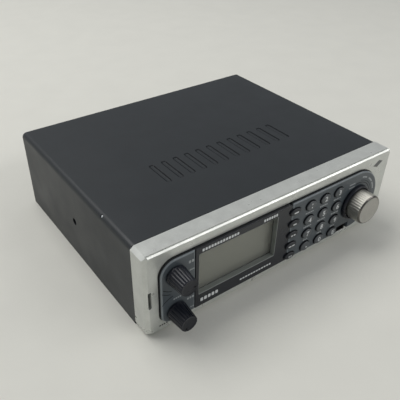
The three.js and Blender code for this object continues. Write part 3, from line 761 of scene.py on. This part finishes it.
def make_key(label, top_material):
    """A key with a domed top and side lips; returns the place for its print."""
    node = f"key_{label}"
    cx, _, cz = middle(node)
    half_x, half_z = key_half(node)
    _, _, head, back, _, _ = span(node)
    build = Build()
    rings = []
    for share in CROWN_SHARES:
        outline = oval(cx, cz, half_x * share, half_z * share)
        rings.append(build.ring([(x, crown(x, z, cx, cz, half_x, half_z, head), z) for x, z in outline]))
    flat_share = CROWN_SHARES[-1]
    rim_y = head + KEY_DOME * flat_share ** 2
    for k in range(1, RIM_STEPS + 1):
        turn = k / RIM_STEPS * math.pi / 2
        slope = (1 - flat_share) * half_z * KEY_RIM_SLOPE * (1 - k / RIM_STEPS)
        inset = KEY_RIM * (1 - math.sin(turn)) + slope
        y = rim_y + KEY_RIM * (1 - math.cos(turn))
        rings.append(build.ring([(x, y, z) for x, z in oval(cx, cz, half_x - inset, half_z - inset)]))
    sides = [(half_x, KEY_LIP_FRONT), (half_x + KEY_LIP, KEY_LIP_FRONT), (half_x + KEY_LIP, back)]
    for reach, y in sides:
        rings.append(build.ring([(x, y, z) for x, z in oval(cx, cz, reach, half_z)]))
    build.fan(rings[0], (cx, head, cz))
    for index, (one, two) in enumerate(zip(rings, rings[1:])):
        build.mark = 0 if index < TOP_RINGS else 1
        build.bridge(one, two)
    build.fan(rings[-1], (cx, back, cz))
    piece = make_mesh(f"{node}_top", build, [top_material, key_side])
    slot = "key_grey" if top_material is key_grey else "fn_black"
    finish(piece, f"{node}_cap", slot, node)
    return cx, cz, half_x, half_z, head


PRINT_THICKNESS = 0.02
PRINT_WEIGHT = 0.02
PRINT_LIFT = 0.03
DIGIT_SIZE = 4.6
MARK_WIDTHS = [(3.4,), (2.6,), (1.5, 1.5), (2.2, 2.2), (1.0, 1.0)]
MARK_GAP = 0.5
MARK_Z = -0.2
MARK_HEIGHT = 0.9


def text_outline(text, size):
    """The built-in font's shape for a text, as a flat closed slab in millimetres."""
    curve = bpy.data.curves.new("text", "FONT")
    curve.body = text
    curve.size = size
    curve.align_x = "CENTER"
    curve.align_y = "CENTER"
    curve.extrude = PRINT_THICKNESS
    curve.resolution_u = 4
    curve.offset = PRINT_WEIGHT * size
    holder = bpy.data.objects.new("text", curve)
    bpy.context.scene.collection.objects.link(holder)
    bpy.context.view_layer.update()
    evaluated = holder.evaluated_get(bpy.context.evaluated_depsgraph_get())
    mesh = bpy.data.meshes.new_from_object(evaluated)
    points = [tuple(v.co) for v in mesh.vertices]
    faces = [tuple(p.vertices) for p in mesh.polygons]
    bpy.data.objects.remove(holder)
    bpy.data.meshes.remove(mesh)
    return points, faces


def print_on_key(label, points, faces, key, material):
    """Lays a flat print on the dome of a key."""
    cx, cz, half_x, half_z, head = key
    build = Build()
    build.ring([
        (cx + u, crown(cx + u, cz + v, cx, cz, half_x, half_z, head) - PRINT_LIFT - w, cz + v)
        for u, v, w in points
    ])
    for face in faces:
        build.face(*face)
    piece = make_mesh(f"key_{label}_print", build, [material])
    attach(piece, f"key_{label}_cap")


def slab(outlines):
    """Flat closed slabs from outlines, as points and faces like text_outline's."""
    thickness = PRINT_THICKNESS
    points, faces = [], []
    for outline in outlines:
        count = len(outline)
        start = len(points)
        points += [(x, z, -thickness) for x, z in outline]
        points += [(x, z, thickness) for x, z in outline]
        faces.append(tuple(range(start, start + count)))
        faces.append(tuple(range(start + count, start + 2 * count)))
        for i in range(count):
            j = (i + 1) % count
            faces.append((start + i, start + j, start + count + j, start + count + i))
    return points, faces


def bar(x, z, width, height):
    corner = min(width, height) * 0.3
    return rounded(x - width / 2, x + width / 2, z - height / 2, z + height / 2, corner, steps=3)


for label in NUMBER_KEYS:
    key = make_key(label, key_grey)
    if label == "dot":
        shape = slab([oval(0.4, -0.5, 0.55, 0.55, 20)])
    elif label == "enter":
        strokes = [bar(-0.3, 0.1, 0.7, 3.2)]
        strokes += [bar(0.9, height, 1.7, 0.6) for height in (1.4, 0.1, -1.2)]
        shape = slab(strokes)
    else:
        shape = text_outline(label, DIGIT_SIZE)
    print_on_key(label, *shape, key, print_white)

for label, widths in zip(FUNCTION_KEYS, MARK_WIDTHS):
    key = make_key(label, key_black)
    left = -(sum(widths) + MARK_GAP * (len(widths) - 1)) / 2
    outlines = []
    for width in widths:
        outlines.append(bar(left + width / 2, MARK_Z, width, MARK_HEIGHT))
        left += width + MARK_GAP
    print_on_key(label, *slab(outlines), key, print_white)

# ------------------------------------------------------------------ dials


def fluted(node, name, flutes, depth, profile, per_flute, pointer, materials, slot, body):
    """A dial with flutes down its side; profile points are (radius, y, share of flute, material)."""
    x, _, z = middle(node)
    count = flutes * per_flute
    build = Build()
    rings = []
    for radius, y, share, _ in profile:
        points = []
        for i in range(count):
            angle = 2 * math.pi * i / count
            valley = 1 - abs(math.sin(flutes * angle / 2))
            r = radius - depth * share * valley ** 1.5
            points.append((x + r * math.cos(angle), y, z + r * math.sin(angle)))
        rings.append(build.ring(points))
    for (one, two), (_, _, _, mark) in zip(zip(rings, rings[1:]), profile[1:]):
        build.mark = mark
        build.bridge(one, two)
    build.mark = profile[0][3]
    build.fan(rings[0], (x, profile[0][1], z))
    build.mark = 0
    build.fan(rings[-1], (x, profile[-1][1], z))
    piece = make_mesh(name, build, materials)
    if pointer is not None:
        angle, reach, width, sink = pointer
        px, pz = x + reach * math.cos(angle), z + reach * math.sin(angle)
        dimple = turned(px, pz, [(width, profile[0][1] - 1), (width, profile[0][1] + sink)], 20)
        carve(piece, [make_mesh("dimple", dimple, [materials[-1]])])
    finish(piece, body, slot, node)


DIAL_FLUTES = 16
DIAL_FLUTE_DEPTH = 0.34
POINTER_REACH = 3.4
POINTER_HALF = 0.55
POINTER_SINK = 0.6
SCROLL_FLUTES = 36
SCROLL_FLUTE_DEPTH = 0.26


def make_dial(node, pointer_angle):
    x0, x1, front, foot, _, _ = span(node)
    base = (x1 - x0) / 2
    face = base - 1.0
    profile = [
        (1.6, front + 0.28, 0, 0),
        (3.4, front + 0.22, 0, 0),
        (face - 0.62, front + 0.12, 0, 0),
        (face - 0.42, front + 0.02, 0.1, 0),
        (face - 0.2, front, 0.35, 0),
        (face - 0.06, front + 0.12, 0.7, 0),
        (face, front + 0.36, 1, 0),
        (face + 0.5, (front + foot) / 2, 1, 0),
        (base - 0.15, foot - 1.8, 1, 0),
        (base - 0.1, foot - 1.4, 0.3, 0),
        (base, foot - 1.15, 0, 0),
        (base, foot - 0.2, 0, 0),
        (base - 0.2, foot, 0, 0),
        (3.6, foot, 0, 0),
    ]
    pointer = (math.radians(pointer_angle), POINTER_REACH, POINTER_HALF, POINTER_SINK)
    body = node.replace("_knob", "_dial")
    # The second colour is painted shade for the pointer dimple's walls.
    materials = [knob_black, shade_and_dark_print]
    fluted(
        node, f"{node}_body", DIAL_FLUTES, DIAL_FLUTE_DEPTH, profile, 12, pointer,
        materials, "knob_black", body,
    )


def make_scroll_dial():
    _, _, front, back, _, _ = span("scroll_knob")
    profile = [
        (3.0, front + 0.32, 0, 1),
        (6.5, front + 0.26, 0, 1),
        (8.5, front + 0.12, 0, 1),
        (8.75, front + 0.02, 0, 1),
        (8.9, front, 0, 2),
        (9.05, front + 0.03, 0, 2),
        (9.7, front + 0.68, 0, 2),
        (9.82, front + 0.9, 0.3, 2),
        (9.85, front + 1.15, 1, 0),
        (9.9, (front + back) / 2, 1, 0),
        (9.98, back - 1.0, 1, 0),
        (9.98, back - 0.3, 1, 0),
        (9.7, back, 0.5, 0),
        (4.0, back, 0, 0),
    ]
    fluted(
        "scroll_knob", "scroll_knob_body", SCROLL_FLUTES, SCROLL_FLUTE_DEPTH, profile, 8, None,
        [knob_silver, knob_face, polished], "knob_silver", "scroll_dial",
    )


def make_scroll_collar():
    x0, x1, front, back, _, _ = span("scroll_collar")
    outer = (x1 - x0) / 2
    build = Build()
    profile = [
        (10.5, back), (10.5, front + 0.3), (10.7, front), (11.1, front), (11.6, front + 0.35),
        (outer - 0.1, front + 1.0), (outer, front + 1.5), (outer, back),
    ]
    rings = []
    for radius, y in profile:
        circle = oval(SCROLL_X, SCROLL_Z, radius, radius, 96)
        rings.append(build.ring([(x, y, z) for x, z in circle]))
    for one, two in zip(rings, rings[1:] + rings[:1]):
        build.bridge(one, two)
    finish(make_mesh("scroll_ring", build, [knob_black]), "root", "knob_black", "scroll_collar")


make_dial("squelch_knob", -15)
make_dial("volume_knob", 240)
make_scroll_dial()
make_scroll_collar()

# ------------------------------------------------------------------ marks on the panel

BAR_SHARE = 0.72
CAPTION_DROP = 5.1
CAPTION_HEIGHT = 0.9


def print_on_panel(name, outlines, y, material):
    """Generic printed bars on a flat face that looks to the front."""
    points, faces = slab(outlines)
    build = Build()
    build.ring([(x, y - PRINT_THICKNESS + w, z) for x, z, w in points])
    for face in faces:
        build.face(*face)
    piece = make_mesh(name, build, [material])
    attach(piece, "root")


def bar_row(x0, x1, z, height, count):
    """A row of equal upright bars, standing where a line of small print would be."""
    pitch = (x1 - x0) / count
    return [bar(x0 + (i + 0.5) * pitch, z, pitch * BAR_SHARE, height) for i in range(count)]


def arc_band(x, z, radius, width, start, end, steps=20):
    outer = arc(x, z, radius + width / 2, radius + width / 2, start, end, steps)
    inner = arc(x, z, radius - width / 2, radius - width / 2, end, start, steps)
    return outer + inner


white_rows = (
    bar_row(-59.3, -35.0, 45.9, 1.7, 13)
    + bar_row(-18.0, -7.5, 45.9, 1.7, 6)
    + bar_row(-60.0, -47.5, 11.4, 2.4, 5)
    + bar_row(-32.5, -8.5, 11.0, 1.1, 12)
)
print_on_panel("display_marks", white_rows, FASCIA_FRONT, print_white)

fine_rows = (
    bar_row(-67.6, -63.9, 42.3, 1.7, 2)
    + bar_row(-67.0, -63.8, 36.8, 0.8, 3)
    + bar_row(-77.0, -72.0, 22.1, 0.9, 4)
    + bar_row(-68.6, -63.9, 17.3, 1.3, 3)
    + bar_row(-66.3, -63.8, 10.1, 0.8, 3)
    + [bar(55.0, 41.9, 5.2, 0.7), bar(55.0, 39.6, 5.2, 0.7)]
)
for column in ("1", "2", "3"):
    x = middle(f"key_{column}")[0]
    for row, count in (("1", 5), ("4", 5), ("7", 3)):
        z = middle(f"key_{row}")[2] - CAPTION_DROP
        half = 3.4 - (5 - count) * 0.7
        fine_rows += bar_row(x - half, x + half, z, CAPTION_HEIGHT, count)
for start, end in ((62, 78), (36, 54), (12, 32)):
    fine_rows.append(arc_band(SCROLL_X, SCROLL_Z, 17.2, 0.9, start, end, 8))
print_on_panel("panel_marks", fine_rows, FASCIA_FRONT, print_grey)

dark_lines = [
    arc_band(SCROLL_X, SCROLL_Z, 13.6, 0.5, -8, 98),
    arc_band(SCROLL_X, SCROLL_Z, 15.0, 0.35, 4, 80),
    arc_band(DIAL_X, SQUELCH_Z, 10.3, 0.45, 222, 256, 10),
    arc_band(DIAL_X, VOLUME_Z, 11.3, 0.45, 100, 138, 10),
    arc_band(DIAL_X, SQUELCH_Z, 12.4, 0.4, 228, 254, 10),
]
print_on_panel("panel_lines", dark_lines, FASCIA_FRONT, shade_and_dark_print)
badge = [(75.7, 46.5), (79.6, 44.9), (84.3, 48.0), (80.5, 49.6)]
print_on_panel("corner_badge", [badge], 0, badge_grey)
print_on_panel("lower_mark", bar_row(-84.8, -79.4, 5.3, 0.8, 4), 0, shade_and_dark_print)

# ------------------------------------------------------------------ display


def frame_line(x0, x1, z0, z1, width):
    """The four thin bars of a rectangle drawn on a flat face."""
    mid_x, mid_z = (x0 + x1) / 2, (z0 + z1) / 2
    return [
        bar(mid_x, z0, x1 - x0, width), bar(mid_x, z1, x1 - x0, width),
        bar(x0, mid_z, width, z1 - z0 - 2 * width), bar(x1, mid_z, width, z1 - z0 - 2 * width),
    ]


lcd_front = span("lcd_glass")[2]
lcd_lines = frame_line(-62.0, -10.6, 18.6, 45.2, 0.3) + frame_line(-62.5, -8.6, 16.7, 45.7, 0.3)
print_on_panel("lcd_lines", lcd_lines, lcd_front, lcd_shade)

# ------------------------------------------------------------------ case

SHEET = 1.2
BEND = 3.2
RIB_COUNT = 12
RIB_PITCH = 8.4
RIB_MIDDLE = (2.0, 59.5)
RIB_HALF = (2.1, 11.0)
RIB_SINK = 0.45
RIB_EDGE = 1.5
SHEET_EDGE = 0.25
BRACKET_Y = 80.4
BRACKET_Z = 26.5
BRACKET_HOLE = 2.25
NOTCH_RADIUS = 1.1
RIVET_Y = 43
RIVET_INSET = 0.35
LEAN = math.sqrt(0.5)
COVER_SHARP_ANGLE = 50


def pressed(x, y):
    """How far the top is pressed down at a point: a plain row of rounded ribs."""
    middle_x, middle_y = RIB_MIDDLE
    offset = (x - middle_x) / RIB_PITCH + (RIB_COUNT - 1) / 2
    index = min(max(round(offset), 0), RIB_COUNT - 1)
    dx = abs(x - middle_x - (index - (RIB_COUNT - 1) / 2) * RIB_PITCH)
    dy = max(abs(y - middle_y) - (RIB_HALF[1] - RIB_HALF[0]), 0)
    edge = RIB_HALF[0] - math.hypot(dx, dy)
    share = min(max(edge / RIB_EDGE, 0), 1)
    return RIB_SINK * share * share * (3 - 2 * share)


def stations(low, high, dense_low, dense_high, step):
    """Positions from low to high, close together only between dense_low and dense_high."""
    count = round((dense_high - dense_low) / step)
    return [low] + [dense_low + (dense_high - dense_low) * i / count for i in range(count + 1)] + [high]


def cover_path(x0, x1, z0, z1):
    """Points round the cover's section with their outward directions, from left foot to right."""
    reach = RIB_COUNT * RIB_PITCH / 2
    across = stations(x0 + BEND, x1 - BEND, RIB_MIDDLE[0] - reach, RIB_MIDDLE[0] + reach, 0.4)
    path = [((x0, z0), (-1, 0)), ((x0, (z0 + z1) / 2), (-1, 0))]
    for x, z in arc(x0 + BEND, z1 - BEND, BEND, BEND, 180, 90, 10):
        path.append(((x, z), ((x - x0 - BEND) / BEND, (z - z1 + BEND) / BEND)))
    path += [((x, z1), (0, 1)) for x in across[1:-1]]
    for x, z in arc(x1 - BEND, z1 - BEND, BEND, BEND, 90, 0, 10):
        path.append(((x, z), ((x - x1 + BEND) / BEND, (z - z1 + BEND) / BEND)))
    path += [((x1, (z0 + z1) / 2), (1, 0)), ((x1, z0), (1, 0))]
    return path


def cover_stations(y0, y1):
    """Sections along the cover: each one's Y and how much the sheet is rounded off there."""
    near, far = RIB_MIDDLE[1] - RIB_HALF[1] - 1, RIB_MIDDLE[1] + RIB_HALF[1] + 1
    slight = SHEET_EDGE * 0.3
    along = [(y0, SHEET_EDGE), (y0 + slight, slight)]
    along += [(y, 0) for y in stations(y0 + SHEET_EDGE, y1 - SHEET_EDGE, near, far, 0.5)]
    along += [(y1 - slight, slight), (y1, SHEET_EDGE)]
    return along


def bracket_drill(x0, x1):
    """A cutter for the bracket screws' holes, through both sides."""
    drill = Build()
    circle = oval(BRACKET_Y, BRACKET_Z, BRACKET_HOLE, BRACKET_HOLE, 32)
    left = drill.ring([(x0 - 2, y, z) for y, z in circle])
    right = drill.ring([(x1 + 2, y, z) for y, z in circle])
    drill.bridge(left, right)
    drill.cap(left)
    drill.cap(right)
    return make_mesh("drill", drill, [charcoal])


def rivet_notch(side, x, top):
    """A cutter for the small round relief in a folded edge, at 45 degrees to both faces."""
    notch = Build()
    rings = []
    for depth in (-4, 4):
        points = []
        for u, v in oval(0, 0, NOTCH_RADIUS, NOTCH_RADIUS, 24):
            points.append((
                x - side * 1.0 + side * (depth + u) * LEAN,
                RIVET_Y + v,
                top - 1.0 + (depth - u) * LEAN,
            ))
        rings.append(notch.ring(points))
    notch.bridge(*rings)
    notch.cap(rings[0])
    notch.cap(rings[1])
    # Its near-black colour is painted shade for the relief's walls.
    return make_mesh(f"notch_{side + 1}", notch, [shade_and_dark_print])


def make_top_cover():
    x0, x1, y0, y1, z0, z1 = span("top_cover")
    path = cover_path(x0, x1, z0, z1)
    along = cover_stations(y0, y1)
    build = Build()
    outers, inners = [], []
    for y, thin in along:
        outer, inner = [], []
        back = SHEET - thin
        for (x, z), (nx, nz) in path:
            sink = pressed(x, y) if z == z1 else 0
            outer.append((x - nx * thin, y, z - nz * thin - sink))
            inner.append((x - nx * back, y, z - nz * back - sink))
        outers.append(build.ring(outer))
        inners.append(build.ring(inner))
    for rings in (outers, inners):
        for one, two in zip(rings, rings[1:]):
            build.bridge(one, two, closed=False)
    for i in range(len(along) - 1):
        for end in (0, -1):
            build.face(outers[i][end], outers[i + 1][end], inners[i + 1][end], inners[i][end])
    for end in (0, -1):
        build.bridge(outers[end], inners[end], closed=False)
    piece = make_mesh("cover_sheet", build, [charcoal, rib_slope_shade], COVER_SHARP_ANGLE)
    # Faces on the slopes of the pressed ribs take the darker colour: painted shade in the creases.
    for face in piece.data.polygons:
        centre = face.center / MM
        share = pressed(centre.x, centre.y - ORIGIN_Y / MM) / RIB_SINK
        if centre.z > z1 - 1 and 0.1 < share < 0.75:
            face.material_index = 1
    carve(piece, [bracket_drill(x0, x1), rivet_notch(-1, x0, z1), rivet_notch(1, x1, z1)])
    finish(piece, "root", "case_paint", "top_cover")


def make_edge_rivet(side):
    """The bright head that shows in the small relief on each folded edge."""
    x0, x1, _, _, _, z1 = span("top_cover")
    edge_x = x1 if side > 0 else x0
    build = Build()
    rings = []
    for radius, depth in ((0.3, 0.9), (0.6, 1.0), (0.8, 1.2), (0.85, 1.45), (0.85, 2.15)):
        points = []
        for u, v in oval(0, 0, radius, radius, 20):
            x = edge_x - side * depth * LEAN + side * u * LEAN
            z = z1 - depth * LEAN - u * LEAN
            points.append((x - side * RIVET_INSET, RIVET_Y + v, z - RIVET_INSET))
        rings.append(build.ring(points))
    for one, two in zip(rings, rings[1:]):
        build.bridge(one, two)
    build.cap(rings[0])
    build.cap(rings[-1])
    piece = make_mesh(f"edge_rivet_{'left' if side < 0 else 'right'}", build, [steel])
    finish(piece, "root", "steel")


make_top_cover()
for side in (-1, 1):
    make_edge_rivet(side)

# ------------------------------------------------------------------ carried-over parts

SOFT_ANGLE = 32
NEARLY_FLAT = 1
NODE_WELD_GAP = 1e-6


def soften(node, material, slot, width):
    """A copy of a CAD node with its real edges rounded a little, in the node's place."""
    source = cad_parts[node]
    mesh = source.data.copy()
    shaped = bmesh.new()
    shaped.from_mesh(mesh)
    bmesh.ops.remove_doubles(shaped, verts=shaped.verts, dist=NODE_WELD_GAP)
    flat = math.radians(NEARLY_FLAT)
    bmesh.ops.dissolve_limit(shaped, angle_limit=flat, verts=shaped.verts, edges=shaped.edges)
    shaped.to_mesh(mesh)
    shaped.free()
    mesh.materials.clear()
    mesh.materials.append(material)
    mesh.shade_smooth()
    mesh.set_sharp_from_angle(angle=math.radians(SOFT_ANGLE))
    piece = bpy.data.objects.new(f"{node}_finished", mesh)
    piece.matrix_world = source.matrix_world
    bpy.context.scene.collection.objects.link(piece)
    bevel = piece.modifiers.new("edges", "BEVEL")
    bevel.width = width * MM
    bevel.segments = 2
    bevel.limit_method = "ANGLE"
    bevel.angle_limit = math.radians(SOFT_ANGLE)
    finish(piece, "root", slot, node)


SOFTENED = {
    "bottom_cover": (charcoal, "case_paint", 0.2),
    "rear_panel": (charcoal, "case_paint", 0.2),
    "data_port": (plastic_black, "plastic_black", 0.1),
    "power_connector": (plastic_white, "plastic_white", 0.15),
    "serial_port": (nickel, "nickel", 0.12),
}
CARRIED = {
    "display_lens": lens_clear, "lcd_glass": lcd_olive, "lcd_backlight": plastic_white,
    "squelch_shaft": steel, "volume_shaft": steel, "scroll_shaft": steel,
    "squelch_pot": steel, "volume_pot": steel, "encoder_body": steel, "encoder_rotor": plastic_black,
    "key_mat": rubber_grey, "keypad_pcb": board_green, "front_pcb": board_green, "main_pcb": board_green,
    "ribbon_cable": plastic_white, "rf_shield": steel,
    "left_mount_nut": steel, "right_mount_nut": steel,
    "speaker_basket": steel, "speaker_cone": cone_paper, "speaker_magnet": magnet_grey,
    "antenna_jack": nickel, "dc_jack": plastic_black,
    "speaker_jack": plastic_black, "record_jack": plastic_black,
}
CARRIED.update({f"bottom_screw_{i}": steel for i in range(1, 5)})
for node, (material, slot, width) in SOFTENED.items():
    soften(node, material, slot, width)
for node, material in CARRIED.items():
    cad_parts[node].data.materials.clear()
    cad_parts[node].data.materials.append(material)

# ------------------------------------------------------------------ floor

FLOOR_REACH = 2500
FLOOR_GAP = 0.1


def add_floor():
    build = Build()
    reach = FLOOR_REACH
    square = [(-reach, -reach), (reach, -reach), (reach, reach), (-reach, reach)]
    corners = build.ring([(x, y, -FLOOR_GAP) for x, y in square])
    build.face(*corners)
    make_mesh("floor", build, [floor_pale])


add_floor()
